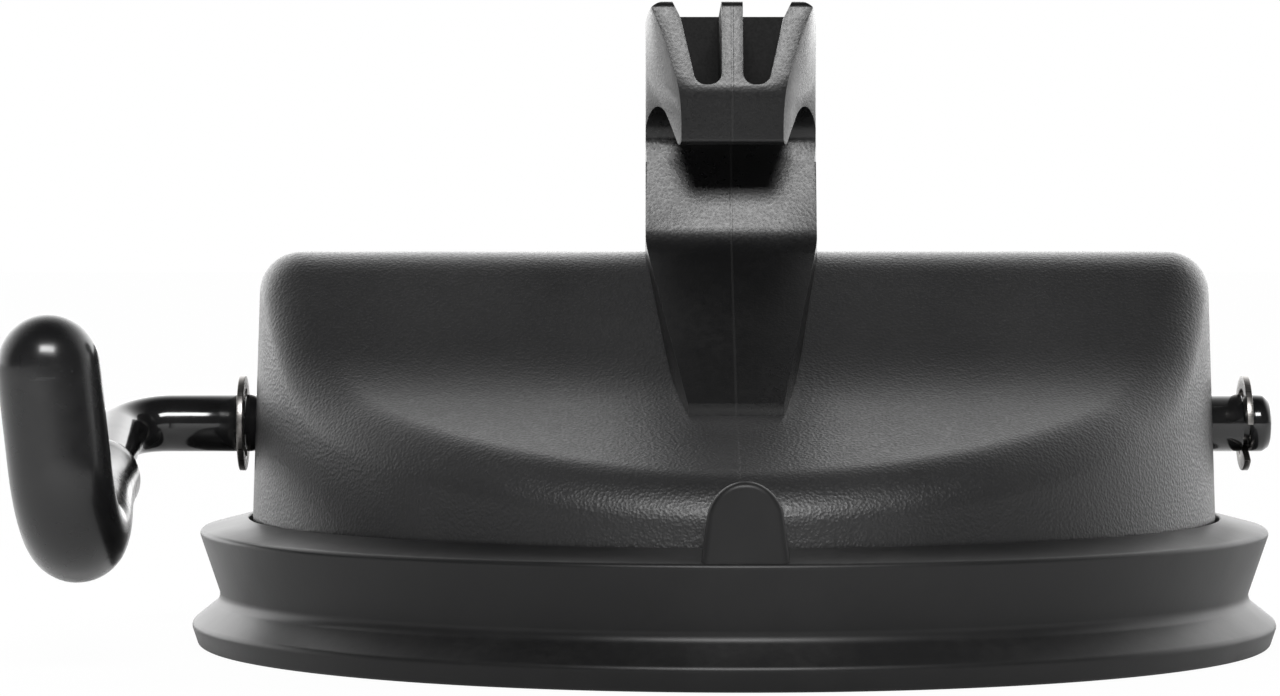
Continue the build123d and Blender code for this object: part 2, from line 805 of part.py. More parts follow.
def make_guide_plate():
    """Plate across the housing's mouth: it guides the stud and backs the springs."""
    bottom = guide_plate_bottom
    top = bottom + guide_plate_thickness
    plate = upright(guide_plate_radius, bottom, top)
    rim = upright(guide_plate_radius, bottom, top + guide_rim_height)
    rim -= upright(guide_plate_radius - guide_rim_width, 0, ridge_top)
    plate += rim
    pocket_radius = spring_coil_radius + spring_wire_radius + spring_pocket_clearance
    outer = pocket_radius + spring_pocket_wall
    for side in (-1, 1):
        x = side * spring_offset
        plate += upright(outer, bottom, spring_pocket_top + spring_pocket_wall, x)
    for x, y in guide_screw_places():
        boss_ring = upright(boss_radius + guide_rim_width, bottom, top + guide_rim_height, x, y)
        inside_rim = upright(guide_plate_radius, bottom, top + guide_rim_height)
        plate += boss_ring & inside_rim
        plate -= upright(boss_radius + rim_wall_gap, top, ridge_top, x, y)
        plate -= upright(screw_radius + screw_clearance, 0, ridge_top, x, y)
    for side in (-1, 1):
        plate -= upright(pocket_radius, 0, spring_pocket_top, side * spring_offset)
    return plate - upright(stud_radius + guide_hole_clearance, 0, ridge_top)


def make_return_springs():
    """Two coil springs that press the insert plate back down."""
    plate_top = membrane_thickness + plate_thickness
    start = plate_top + spring_wire_radius + spring_end_gap
    height = spring_pocket_top - spring_end_gap - spring_wire_radius - start
    helix = Edge.make_helix(height / spring_turns, height, spring_coil_radius)
    section = Plane(origin=helix @ 0, z_dir=helix % 0) * Circle(spring_wire_radius)
    coil = sweep(section, path=helix)
    return Compound([Pos(side * spring_offset, 0, start) * coil for side in (-1, 1)])


# ---- all the pieces ----

def make_all():
    """Every piece by its name."""
    outer = housing_solid()
    rod = make_lever_rod()
    guide_top = guide_plate_bottom
    return {
        "suction_cup": make_suction_cup(),
        "housing": make_housing(outer),
        "hook_arm": make_hook_arm(outer),
        "arm_screws": make_screw_group(arm_screw_places(), arm_screw_length, arm_screw_seat),
        "guide_plate": make_guide_plate(),
        "guide_screws": make_screw_group(guide_screw_places(), guide_screw_length, guide_top),
        "bush_left": make_bush(-1),
        "bush_right": make_bush(1),
        "return_springs": make_return_springs(),
        "lever_rod": rod,
        "lever_grip": make_lever_grip(rod),
        "cam": make_cam(),
        "cam_pin": make_cam_pin(),
        "e_clip_left": make_rod_clip(clip_left_x, 180),
        "e_clip_right": make_rod_clip(clip_right_x, 25),
        "insert_plate": make_insert_plate(),
        "lift_stud": make_lift_stud(),
        "lift_yoke": make_lift_yoke(),
        "follower_pin": make_follower_pin(),
        "follower_clips": make_follower_clips(),
    }


os.makedirs("parts", exist_ok=True)
for node, shape in make_all().items():
    export_step(shape, f"parts/{node}.step")
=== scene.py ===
import bmesh
import bpy
import math
from mathutils import Matrix, Vector


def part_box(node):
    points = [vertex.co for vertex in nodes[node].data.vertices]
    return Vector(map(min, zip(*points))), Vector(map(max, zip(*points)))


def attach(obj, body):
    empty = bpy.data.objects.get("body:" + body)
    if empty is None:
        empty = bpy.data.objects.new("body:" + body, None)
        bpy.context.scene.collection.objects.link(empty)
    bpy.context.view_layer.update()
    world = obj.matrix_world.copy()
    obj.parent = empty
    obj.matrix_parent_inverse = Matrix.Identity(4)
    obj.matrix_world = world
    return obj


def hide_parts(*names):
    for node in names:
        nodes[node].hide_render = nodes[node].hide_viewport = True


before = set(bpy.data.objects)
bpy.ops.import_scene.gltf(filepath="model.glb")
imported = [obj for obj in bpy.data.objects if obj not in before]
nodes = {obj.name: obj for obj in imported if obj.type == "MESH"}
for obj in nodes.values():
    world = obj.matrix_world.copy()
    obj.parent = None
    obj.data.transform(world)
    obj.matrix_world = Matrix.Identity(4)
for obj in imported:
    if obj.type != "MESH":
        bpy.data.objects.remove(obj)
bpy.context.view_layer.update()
mm = 0.001
print("frame loaded")


# node tree helpers

def addNode(tree, kind, **settings):
    node = tree.nodes.new(kind)
    for name, value in settings.items():
        setattr(node, name, value)
    return node


def fill(tree, socket, value):
    # another node's output is linked, a plain number or colour is set
    if isinstance(value, bpy.types.NodeSocket):
        tree.links.new(value, socket)
    else:
        socket.default_value = value


def feed(tree, node, **inputs):
    for name, value in inputs.items():
        fill(tree, node.inputs[name.replace("_", " ")], value)
    return node


def newGroup(name, inputs, outputs):
    group = bpy.data.node_groups.new(name, "ShaderNodeTree")
    for label, kind, default in inputs:
        socket = group.interface.new_socket(name=label, in_out="INPUT", socket_type=kind)
        if default is not None:
            socket.default_value = default
    for label, kind in outputs:
        group.interface.new_socket(name=label, in_out="OUTPUT", socket_type=kind)
    return group, group.nodes.new("NodeGroupInput"), group.nodes.new("NodeGroupOutput")


def noiseNode(tree, vector, scale, detail, roughness):
    node = addNode(tree, "ShaderNodeTexNoise")
    return feed(tree, node, Vector=vector, Scale=scale, Detail=detail, Roughness=roughness)


def rangeNode(tree, value, low, high, toLow=0.0, toHigh=1.0):
    node = addNode(tree, "ShaderNodeMapRange")
    return feed(tree, node, Value=value, From_Min=low, From_Max=high, To_Min=toLow, To_Max=toHigh).outputs[0]


def mathNode(tree, operation, first, second):
    node = addNode(tree, "ShaderNodeMath", operation=operation)
    for socket, value in zip(node.inputs, (first, second)):
        fill(tree, socket, value)
    return node.outputs[0]


def mixColour(tree, factor, first, second):
    node = addNode(tree, "ShaderNodeMix", data_type="RGBA")
    for socket, value in zip((node.inputs[0], node.inputs[6], node.inputs[7]), (factor, first, second)):
        fill(tree, socket, value)
    return node.outputs[2]


def mixNumber(tree, factor, first, second):
    node = addNode(tree, "ShaderNodeMix", data_type="FLOAT")
    for socket, value in zip((node.inputs[0], node.inputs[2], node.inputs[3]), (factor, first, second)):
        fill(tree, socket, value)
    return node.outputs[0]


# shared effects

def buildMouldedGrain():
    # spark-eroded mould texture: small rounded cells broken up by finer noise
    group, start, end = newGroup("mouldedGrain", [
        ("Vector", "NodeSocketVector", None),
        ("Cells", "NodeSocketFloat", 2600.0),
        ("Breakup", "NodeSocketFloat", 0.5),
    ], [("Height", "NodeSocketFloat"), ("Pits", "NodeSocketFloat")])
    vector = start.outputs["Vector"]
    cells = addNode(group, "ShaderNodeTexVoronoi", feature="SMOOTH_F1")
    feed(group, cells, Vector=vector, Scale=start.outputs["Cells"], Smoothness=0.6)
    fineScale = mathNode(group, "MULTIPLY", start.outputs["Cells"], 1.9)
    fine = noiseNode(group, vector, fineScale, 2.0, 0.6).outputs[0]
    coarseScale = mathNode(group, "MULTIPLY", start.outputs["Cells"], 0.45)
    coarse = noiseNode(group, vector, coarseScale, 2.0, 0.5).outputs[0]
    broken = mathNode(group, "MULTIPLY", fine, start.outputs["Breakup"])
    height = mathNode(group, "ADD", cells.outputs["Distance"], broken)
    height = mathNode(group, "ADD", height, mathNode(group, "MULTIPLY", coarse, 0.25))
    group.links.new(height, end.inputs["Height"])
    group.links.new(rangeNode(group, height, 0.4, 1.15), end.inputs["Pits"])
    return group


def buildHandlingWear():
    # scuffs: long soft patches with fine scratches inside them
    group, start, end = newGroup("handlingWear", [
        ("Vector", "NodeSocketVector", None),
        ("Patch Size", "NodeSocketFloat", 45.0),
        ("Amount", "NodeSocketFloat", 0.5),
    ], [("Mask", "NodeSocketFloat"), ("Scratch", "NodeSocketFloat")])
    vector = start.outputs["Vector"]
    patches = noiseNode(group, vector, start.outputs["Patch Size"], 4.0, 0.6).outputs[0]
    patchMask = rangeNode(group, patches, 0.48, 0.72)
    stretched = addNode(group, "ShaderNodeMapping")
    feed(group, stretched, Vector=vector, Rotation=(0.3, 0.5, 0.7), Scale=(180.0, 2600.0, 2600.0))
    lines = noiseNode(group, stretched.outputs[0], 1.0, 2.0, 0.5).outputs[0]
    scratch = rangeNode(group, lines, 0.66, 0.74)
    mask = mathNode(group, "MULTIPLY", patchMask, start.outputs["Amount"])
    group.links.new(mask, end.inputs["Mask"])
    group.links.new(mathNode(group, "MULTIPLY", scratch, mask), end.inputs["Scratch"])
    return group


def buildDustFilm():
    # a thin film that settles on faces that look up
    group, start, end = newGroup("dustFilm", [
        ("Vector", "NodeSocketVector", None),
        ("Amount", "NodeSocketFloat", 0.3),
    ], [("Mask", "NodeSocketFloat")])
    geometry = addNode(group, "ShaderNodeNewGeometry")
    parts = addNode(group, "ShaderNodeSeparateXYZ")
    group.links.new(geometry.outputs["Normal"], parts.inputs[0])
    facingUp = rangeNode(group, parts.outputs["Z"], 0.2, 1.0)
    specks = noiseNode(group, start.outputs["Vector"], 900.0, 5.0, 0.7).outputs[0]
    clouds = noiseNode(group, start.outputs["Vector"], 60.0, 3.0, 0.6).outputs[0]
    settled = rangeNode(group, specks, 0.35, 0.8)
    film = mathNode(group, "MULTIPLY", settled, rangeNode(group, clouds, 0.3, 0.75))
    film = mathNode(group, "MULTIPLY", film, facingUp)
    group.links.new(mathNode(group, "MULTIPLY", film, start.outputs["Amount"]), end.inputs["Mask"])
    return group


def buildPartingLine():
    # the witness line where the two halves of a mould met, on the plane X = Offset
    group, start, end = newGroup("partingLine", [
        ("Vector", "NodeSocketVector", None),
        ("Offset", "NodeSocketFloat", 0.0),
        ("Width", "NodeSocketFloat", 0.00012),
    ], [("Line", "NodeSocketFloat")])
    parts = addNode(group, "ShaderNodeSeparateXYZ")
    group.links.new(start.outputs["Vector"], parts.inputs[0])
    ragged = noiseNode(group, start.outputs["Vector"], 700.0, 2.0, 0.5).outputs[0]
    wander = rangeNode(group, ragged, 0.0, 1.0, -0.00004, 0.00004)
    side = mathNode(group, "SUBTRACT", parts.outputs["X"], start.outputs["Offset"])
    distance = mathNode(group, "ABSOLUTE", mathNode(group, "ADD", side, wander), 0.0)
    share = mathNode(group, "DIVIDE", distance, start.outputs["Width"])
    group.links.new(rangeNode(group, share, 0.4, 1.0, 1.0, 0.0), end.inputs["Line"])
    return group


mouldedGrain = buildMouldedGrain()
handlingWear = buildHandlingWear()
dustFilm = buildDustFilm()
partingLine = buildPartingLine()


def useGroup(tree, group, **inputs):
    node = addNode(tree, "ShaderNodeGroup", node_tree=group)
    return feed(tree, node, **inputs)


def newMaterial(name):
    material = bpy.data.materials.new(name)
    material.use_nodes = True
    tree = material.node_tree
    shader = tree.nodes["Principled BSDF"]
    coordinates = addNode(tree, "ShaderNodeTexCoord").outputs["Object"]
    return material, tree, shader, coordinates


def addBump(tree, shader, height, strength, distance, under=None):
    bump = addNode(tree, "ShaderNodeBump")
    feed(tree, bump, Height=height, Strength=strength, Distance=distance)
    if under is not None:
        tree.links.new(under, bump.inputs["Normal"])
    tree.links.new(bump.outputs[0], shader.inputs["Normal"])
    return bump.outputs[0]


# materials

dustColour = (0.14, 0.137, 0.134, 1)
grainedPlastic = {
    "housing": {
        "dark": (0.012, 0.012, 0.0125, 1), "light": (0.021, 0.021, 0.0215, 1), "cells": 3000.0,
        "depth": 0.08 * mm, "strength": 0.45, "rough": (0.36, 0.48), "shine": 0.5,
        "lineX": -0.4 * mm, "lineShow": 0.5, "wells": None,
    },
    "arm": {
        "dark": (0.004, 0.004, 0.0042, 1), "light": (0.008, 0.008, 0.0083, 1), "cells": 3000.0,
        "depth": 0.03 * mm, "strength": 0.3, "rough": (0.28, 0.36), "shine": 0.42,
        "lineX": -0.4 * mm, "lineShow": 0.6,
        # painted shade: a near-black box over the pocket behind the arm's fingers
        "wells": {"centre": (-0.4 * mm, -2.8 * mm, 66.5 * mm), "half": (6.6 * mm, 9.2 * mm, 6.0 * mm)},
    },
}
plasticFinish = {
    "breakup": 0.55, "patches": 38.0, "wear": 0.35, "dust": 0.10, "clouds": 55.0, "pitTone": 0.35,
    "scratch": (0.09, 0.09, 0.092, 1), "polish": 0.12, "lineWidth": 0.16 * mm, "lineTone": 0.25,
    "lineColour": (0.06, 0.06, 0.06, 1), "lineBump": 0.35, "lineDepth": 0.06 * mm,
    # painted shade for that pocket: near-black colour, added roughness and the fade at the box's edges
    "pocketShadeColour": (0.0008, 0.0008, 0.0008, 1), "pocketShadeRough": 0.45, "pocketShadeFade": 0.3 * mm,
}


def insideBox(tree, place, centre, half, fade):
    # 1 inside a box given by its centre and half sizes, 0 outside it
    parts = addNode(tree, "ShaderNodeSeparateXYZ")
    tree.links.new(place, parts.inputs[0])
    inside = 1.0
    for axis, middle, reach in zip("XYZ", centre, half):
        away = mathNode(tree, "ABSOLUTE", mathNode(tree, "SUBTRACT", parts.outputs[axis], middle), 0.0)
        inside = mathNode(tree, "MULTIPLY", inside, rangeNode(tree, away, reach, reach - fade, 0.0, 1.0))
    return inside


def grainedPlasticMaterial(name, look):
    finish = plasticFinish
    material, tree, shader, place = newMaterial(name)
    grain = useGroup(tree, mouldedGrain, Vector=place, Cells=look["cells"], Breakup=finish["breakup"])
    wear = useGroup(tree, handlingWear, Vector=place, Patch_Size=finish["patches"], Amount=finish["wear"])
    dust = useGroup(tree, dustFilm, Vector=place, Amount=finish["dust"])
    line = useGroup(tree, partingLine, Vector=place, Offset=look["lineX"], Width=finish["lineWidth"])
    cloudy = noiseNode(tree, place, finish["clouds"], 3.0, 0.5).outputs[0]
    pits = grain.outputs["Pits"]
    base = mixColour(tree, rangeNode(tree, cloudy, 0.3, 0.7), look["dark"], look["light"])
    base = mixColour(tree, mathNode(tree, "MULTIPLY", pits, finish["pitTone"]), base, look["light"])
    base = mixColour(tree, wear.outputs["Scratch"], base, finish["scratch"])
    base = mixColour(tree, dust.outputs["Mask"], base, dustColour)
    lineMask = mathNode(tree, "MULTIPLY", line.outputs["Line"], look["lineShow"])
    lineShare = mathNode(tree, "MULTIPLY", lineMask, finish["lineTone"])
    base = mixColour(tree, lineShare, base, finish["lineColour"])
    rough = rangeNode(tree, pits, 0.0, 1.0, look["rough"][1], look["rough"][0])
    # painted shade: the pocket behind the fingers is darkened to near black and made rougher inside the box
    if look["wells"]:
        inside = insideBox(tree, place, look["wells"]["centre"], look["wells"]["half"], finish["pocketShadeFade"])
        base = mixColour(tree, inside, base, finish["pocketShadeColour"])
        rough = mathNode(tree, "ADD", rough, mathNode(tree, "MULTIPLY", inside, finish["pocketShadeRough"]))
    tree.links.new(base, shader.inputs["Base Color"])
    polished = mathNode(tree, "MULTIPLY", wear.outputs["Mask"], finish["polish"])
    tree.links.new(mathNode(tree, "SUBTRACT", rough, polished), shader.inputs["Roughness"])
    shader.inputs["Specular IOR Level"].default_value = look["shine"]
    bumped = addBump(tree, shader, grain.outputs["Height"], look["strength"], look["depth"])
    addBump(tree, shader, lineMask, finish["lineBump"], finish["lineDepth"], bumped)
    return material


padRubberLook = {
    "dark": (0.006, 0.006, 0.0063, 1), "light": (0.012, 0.012, 0.0123, 1), "bloom": (0.035, 0.0345, 0.034, 1),
    "patches": 60.0, "wear": 0.4, "wearTone": 0.3, "dust": 0.16, "rough": (0.36, 0.5), "shine": 0.34,
}


def padRubberMaterial():
    look = padRubberLook
    material, tree, shader, place = newMaterial("padRubber")
    bloom = noiseNode(tree, place, 22.0, 5.0, 0.62).outputs[0]
    fine = noiseNode(tree, place, 1500.0, 3.0, 0.6).outputs[0]
    wear = useGroup(tree, handlingWear, Vector=place, Patch_Size=look["patches"], Amount=look["wear"])
    dust = useGroup(tree, dustFilm, Vector=place, Amount=look["dust"])
    base = mixColour(tree, rangeNode(tree, bloom, 0.35, 0.7), look["dark"], look["light"])
    worn = mathNode(tree, "MULTIPLY", wear.outputs["Mask"], look["wearTone"])
    base = mixColour(tree, worn, base, look["bloom"])
    base = mixColour(tree, dust.outputs["Mask"], base, dustColour)
    tree.links.new(base, shader.inputs["Base Color"])
    tree.links.new(rangeNode(tree, bloom, 0.3, 0.75, *look["rough"]), shader.inputs["Roughness"])
    shader.inputs["Specular IOR Level"].default_value = look["shine"]
    bumped = addBump(tree, shader, fine, 0.25, 0.03 * mm)
    waves = noiseNode(tree, place, 260.0, 2.0, 0.5).outputs[0]
    addBump(tree, shader, waves, 0.12, 0.1 * mm, bumped)
    return material


rodEnamelLook = {
    "dark": (0.006, 0.006, 0.006, 1), "light": (0.012, 0.012, 0.0125, 1), "scratch": (0.10, 0.10, 0.10, 1),
    "patches": 120.0, "wear": 0.5, "rough": (0.10, 0.16), "coat": 0.3, "coatRough": 0.08,
}
gripVinylLook = {
    "dark": (0.006, 0.006, 0.0063, 1), "light": (0.010, 0.010, 0.0105, 1), "scratch": (0.08, 0.08, 0.08, 1),
    "patches": 90.0, "wear": 0.4, "rough": (0.2, 0.3), "coat": 0.2, "coatRough": 0.12,
}


def coatedMaterial(name, look, toneNoise, roughNoise):
    # a glossy skin: one noise varies the colour, the other the gloss
    material, tree, shader, place = newMaterial(name)
    tone = noiseNode(tree, place, toneNoise, 2.0, 0.5).outputs[0]
    gloss = tone if toneNoise == roughNoise else noiseNode(tree, place, roughNoise, 2.0, 0.5).outputs[0]
    wear = useGroup(tree, handlingWear, Vector=place, Patch_Size=look["patches"], Amount=look["wear"])
    base = mixColour(tree, rangeNode(tree, tone, 0.3, 0.7), look["dark"], look["light"])
    base = mixColour(tree, wear.outputs["Scratch"], base, look["scratch"])
    tree.links.new(base, shader.inputs["Base Color"])
    tree.links.new(rangeNode(tree, gloss, 0.3, 0.7, *look["rough"]), shader.inputs["Roughness"])
    shader.inputs["Coat Weight"].default_value = look["coat"]
    shader.inputs["Coat Roughness"].default_value = look["coatRough"]
    return material, tree, shader, tone, gloss


def enamelMaterial():
    material, tree, shader, flow, _ = coatedMaterial("rodEnamel", rodEnamelLook, 240.0, 240.0)
    addBump(tree, shader, flow, 0.25, 0.1 * mm)
    return material


def vinylMaterial():
    material, tree, shader, sag, peel = coatedMaterial("gripVinyl", gripVinylLook, 90.0, 420.0)
    bumped = addBump(tree, shader, peel, 0.1, 0.06 * mm)
    addBump(tree, shader, sag, 0.25, 0.2 * mm, bumped)
    return material


metalLooks = {
    "clipSteel": {"colour": (0.17, 0.16, 0.15, 1), "other": (0.30, 0.29, 0.28, 1),
                  "rough": (0.24, 0.4), "grain": (500, 9000, 9000)},
    "zincSheet": {"colour": (0.50, 0.50, 0.51, 1), "other": (0.66, 0.66, 0.67, 1),
                  "rough": (0.25, 0.42), "grain": (700, 7000, 7000)},
    "groundSteel": {"colour": (0.48, 0.48, 0.49, 1), "other": (0.60, 0.60, 0.61, 1),
                    "rough": (0.16, 0.28), "grain": (9000, 900, 900)},
    "springWire": {"colour": (0.36, 0.36, 0.37, 1), "other": (0.50, 0.50, 0.51, 1),
                   "rough": (0.2, 0.34), "grain": (4000, 4000, 4000)},
    "sinteredSteel": {"colour": (0.22, 0.21, 0.21, 1), "other": (0.34, 0.33, 0.33, 1),
                      "rough": (0.42, 0.58), "grain": (5200, 5200, 5200)},
    "screwZinc": {"colour": (0.52, 0.52, 0.53, 1), "other": (0.70, 0.70, 0.71, 1),
                  "rough": (0.22, 0.36), "grain": (6000, 6000, 2200)},
}


def metalMaterial(name):
    look = metalLooks[name]
    material, tree, shader, place = newMaterial(name)
    stretched = addNode(tree, "ShaderNodeMapping")
    feed(tree, stretched, Vector=place, Scale=look["grain"])
    grain = noiseNode(tree, stretched.outputs[0], 1.0, 3.0, 0.6).outputs[0]
    stain = noiseNode(tree, place, 180.0, 4.0, 0.6).outputs[0]
    wear = useGroup(tree, handlingWear, Vector=place, Patch_Size=150.0, Amount=0.5)
    base = mixColour(tree, rangeNode(tree, stain, 0.3, 0.7), look["colour"], look["other"])
    base = mixColour(tree, wear.outputs["Scratch"], base, (0.75, 0.75, 0.76, 1))
    tree.links.new(base, shader.inputs["Base Color"])
    tree.links.new(rangeNode(tree, grain, 0.3, 0.7, *look["rough"]), shader.inputs["Roughness"])
    shader.inputs["Metallic"].default_value = 1.0
    addBump(tree, shader, grain, 0.2, 0.02 * mm)
    return material


plainPlastics = {
    "innerPlastic": {"colour": (0.030, 0.030, 0.032, 1), "other": (0.045, 0.045, 0.048, 1),
                     "rough": (0.36, 0.5)},
    "acetalBush": {"colour": (0.66, 0.65, 0.60, 1), "other": (0.74, 0.73, 0.69, 1),
                   "rough": (0.28, 0.4)},
}


def smoothPlasticMaterial(name):
    look = plainPlastics[name]
    material, tree, shader, place = newMaterial(name)
    flow = noiseNode(tree, place, 70.0, 4.0, 0.6).outputs[0]
    fine = noiseNode(tree, place, 2600.0, 2.0, 0.5).outputs[0]
    base = mixColour(tree, rangeNode(tree, flow, 0.3, 0.7), look["colour"], look["other"])
    tree.links.new(base, shader.inputs["Base Color"])
    tree.links.new(rangeNode(tree, flow, 0.3, 0.7, *look["rough"]), shader.inputs["Roughness"])
    addBump(tree, shader, fine, 0.15, 0.02 * mm)
    return material


housingPlastic = grainedPlasticMaterial("housingPlastic", grainedPlastic["housing"])
armPlastic = grainedPlasticMaterial("armPlastic", grainedPlastic["arm"])
padRubber = padRubberMaterial()
rodEnamel = enamelMaterial()
gripVinyl = vinylMaterial()
metals = {name: metalMaterial(name) for name in metalLooks}
plastics = {name: smoothPlasticMaterial(name) for name in plainPlastics}
print("materials built")


# piece helpers

def finishPiece(name, bm, body, material, stands, sharpAngle):
    bmesh.ops.recalc_face_normals(bm, faces=bm.faces)
    mesh = bpy.data.meshes.new(name)
    bm.to_mesh(mesh)
    bm.free()
    mesh.shade_smooth()
    mesh.set_sharp_from_angle(angle=math.radians(sharpAngle))
    mesh.materials.append(material)
    piece = bpy.data.objects.new(name, mesh)
    bpy.context.scene.collection.objects.link(piece)
    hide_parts(*stands)
    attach(piece, body)
    return piece


def wireFromPoints(bm, points):
    verts = [bm.verts.new(p) for p in points]
    for pair in zip(verts, verts[1:]):
        bm.edges.new(pair)
    return verts


def roundVert(bm, vert, radius, segments):
    bmesh.ops.bevel(bm, geom=[vert], offset=radius, offset_type="OFFSET", segments=segments,
                    profile=0.5, affect="VERTICES", material=-1)


def spinFull(bm, steps):
    bmesh.ops.spin(bm, geom=bm.verts[:] + bm.edges[:], cent=(0, 0, 0), axis=(0, 0, 1), dvec=(0, 0, 0),
                   angle=math.tau, steps=steps, use_merge=True, use_duplicate=False)
    bmesh.ops.remove_doubles(bm, verts=bm.verts, dist=0.01 * mm)


def addCylinder(bm, radius, start, end, segments, innerRadius=0.0):
    axis = Vector(end) - Vector(start)
    turn = axis.to_track_quat("Z", "Y").to_matrix().to_4x4()
    place = Matrix.Translation((Vector(start) + Vector(end)) / 2) @ turn
    made = bmesh.ops.create_cone(bm, cap_ends=innerRadius == 0, segments=segments, radius1=radius,
                                 radius2=radius, depth=axis.length, matrix=place)
    if innerRadius:
        inner = bmesh.ops.create_cone(bm, cap_ends=False, segments=segments, radius1=innerRadius,
                                      radius2=innerRadius, depth=axis.length, matrix=place)
        rims = {e for v in made["verts"] + inner["verts"] for e in v.link_edges if e.is_boundary}
        bmesh.ops.bridge_loops(bm, edges=[e for e in rims if onEnd(e, start, axis)])
        bmesh.ops.bridge_loops(bm, edges=[e for e in rims if e.is_valid and not onEnd(e, start, axis)])


def onEnd(edge, start, axis):
    middle = (edge.verts[0].co + edge.verts[1].co) / 2
    return (middle - Vector(start)).dot(axis) < axis.length_squared / 2


def cutAway(piece, cutterBm):
    # boolean difference, applied straight away
    mesh = bpy.data.meshes.new("cutter")
    cutterBm.to_mesh(mesh)
    cutterBm.free()
    cutter = bpy.data.objects.new("cutter", mesh)
    bpy.context.scene.collection.objects.link(cutter)
    modifier = piece.modifiers.new("cut", "BOOLEAN")
    modifier.operation = "DIFFERENCE"
    modifier.solver = "EXACT"
    modifier.object = cutter
    bpy.context.view_layer.update()
    result = bpy.data.meshes.new_from_object(piece.evaluated_get(bpy.context.evaluated_depsgraph_get()))
    piece.modifiers.clear()
    piece.data = result
    bpy.data.objects.remove(cutter)


# housing: a drum turned from one section, then sheared down onto the ridge and slopes

housingForm = {
    "wall": 3.0 * mm, "flange": 1.8 * mm, "flangeHeight": 2.0 * mm, "draft": 1.0 * mm, "shoulder": 4.5 * mm,
    "ridgeHalf": 5.5 * mm, "brow": 9.0 * mm, "steep": math.radians(42), "valleyStart": 19.9 * mm,
    "valley": 29.0 * mm, "shallow": math.radians(18), "bushHole": 4.53 * mm, "bossRadius": 7.0 * mm,
    "bossLength": 8.0 * mm, "bossBite": 0.4, "bushCut": (30.0 * mm, 60.0 * mm), "guideThick": 2.0 * mm,
    "screws": 4, "screwCircle": 40.0 * mm, "screwBoss": 4.0 * mm, "screwHole": 1.5 * mm,
    "spinSteps": 288, "radialStep": 0.9 * mm, "curveSteps": 12, "innerSteps": 8, "skinShare": 0.6,
    "near": 0.01 * mm, "crease": 38,
}


def slopeDrop(y, form):
    # how far the outer surface lies below the ridge at a distance y from it
    away = abs(y)
    if away < form["ridgeHalf"]:
        return 0.0
    browEnd = form["ridgeHalf"] + form["brow"] * math.sin(form["steep"])
    if away < browEnd:
        return form["brow"] - math.sqrt(form["brow"] ** 2 - (away - form["ridgeHalf"]) ** 2)
    browDrop = form["brow"] * (1 - math.cos(form["steep"]))
    if away < form["valleyStart"]:
        return browDrop + (away - browEnd) * math.tan(form["steep"])
    startDrop = browDrop + (form["valleyStart"] - browEnd) * math.tan(form["steep"])
    centreY = form["valleyStart"] + form["valley"] * math.sin(form["steep"])
    centreUp = form["valley"] * math.cos(form["steep"])
    valleyEnd = centreY - form["valley"] * math.sin(form["shallow"])
    if away < valleyEnd:
        return startDrop + math.sqrt(form["valley"] ** 2 - (centreY - away) ** 2) - centreUp
    endDrop = startDrop + form["valley"] * math.cos(form["shallow"]) - centreUp
    return endDrop + (away - valleyEnd) * math.tan(form["shallow"])


def housingLevels():
    # the heights and radii that the section, the slopes and the bosses share
    form = housingForm
    low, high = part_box("housing")
    level = {"top": high[2], "foot": low[2], "rim": high[0], "footRadius": high[0] - form["flange"]}
    level["flangeTop"] = level["foot"] + form["flangeHeight"]
    level["topRadius"] = level["footRadius"] - form["draft"]
    level["wallTop"] = level["top"] - form["shoulder"]
    level["innerTop"] = level["top"] - form["wall"]
    level["innerEdge"] = level["footRadius"] - form["wall"] - form["draft"]
    level["rodZ"] = (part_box("bush_left")[0][2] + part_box("bush_left")[1][2]) / 2
    return level


def housingSection(level):
    # from the middle of the top, down the outside, across the foot and back up the inside
    form = housingForm
    flatEnd = level["topRadius"] - form["shoulder"]
    flatSteps = int(flatEnd / form["radialStep"])
    points = [(flatEnd * i / flatSteps, 0, level["top"]) for i in range(flatSteps + 1)]
    for i in range(1, form["curveSteps"] + 1):
        angle = math.pi / 2 * i / form["curveSteps"]
        radius = level["topRadius"] - form["shoulder"] * (1 - math.sin(angle))
        points.append((radius, 0, level["wallTop"] + form["shoulder"] * math.cos(angle)))
    for i in range(1, form["curveSteps"] + 1):
        share = i / form["curveSteps"]
        radius = level["topRadius"] + (level["footRadius"] - level["topRadius"]) * share
        points.append((radius, 0, level["wallTop"] + (level["flangeTop"] - level["wallTop"]) * share))
    points += [(level["rim"], 0, level["flangeTop"]), (level["rim"], 0, level["foot"])]
    for i in range(form["innerSteps"] + 1):
        share = i / form["innerSteps"]
        radius = level["footRadius"] - form["wall"] - form["draft"] * share
        points.append((radius, 0, level["foot"] + (level["innerTop"] - level["foot"]) * share))
    for i in range(flatSteps - 1, -1, -1):
        points.append((level["innerEdge"] * i / flatSteps, 0, level["innerTop"]))
    return points


def shearToSlopes(bm, level):
    form = housingForm
    outsideFrom = level["topRadius"] - form["skinShare"] * form["wall"]
    for vert in bm.verts:
        drop = slopeDrop(vert.co.y, form)
        bottom, ceiling = level["foot"], level["innerTop"]
        if math.hypot(vert.co.x, vert.co.y) > outsideFrom:
            bottom, ceiling = level["flangeTop"], level["wallTop"]
        if vert.co.z >= ceiling - form["near"]:
            vert.co.z -= drop
        elif vert.co.z > bottom + form["near"]:
            vert.co.z -= drop * (vert.co.z - bottom) / (ceiling - bottom)


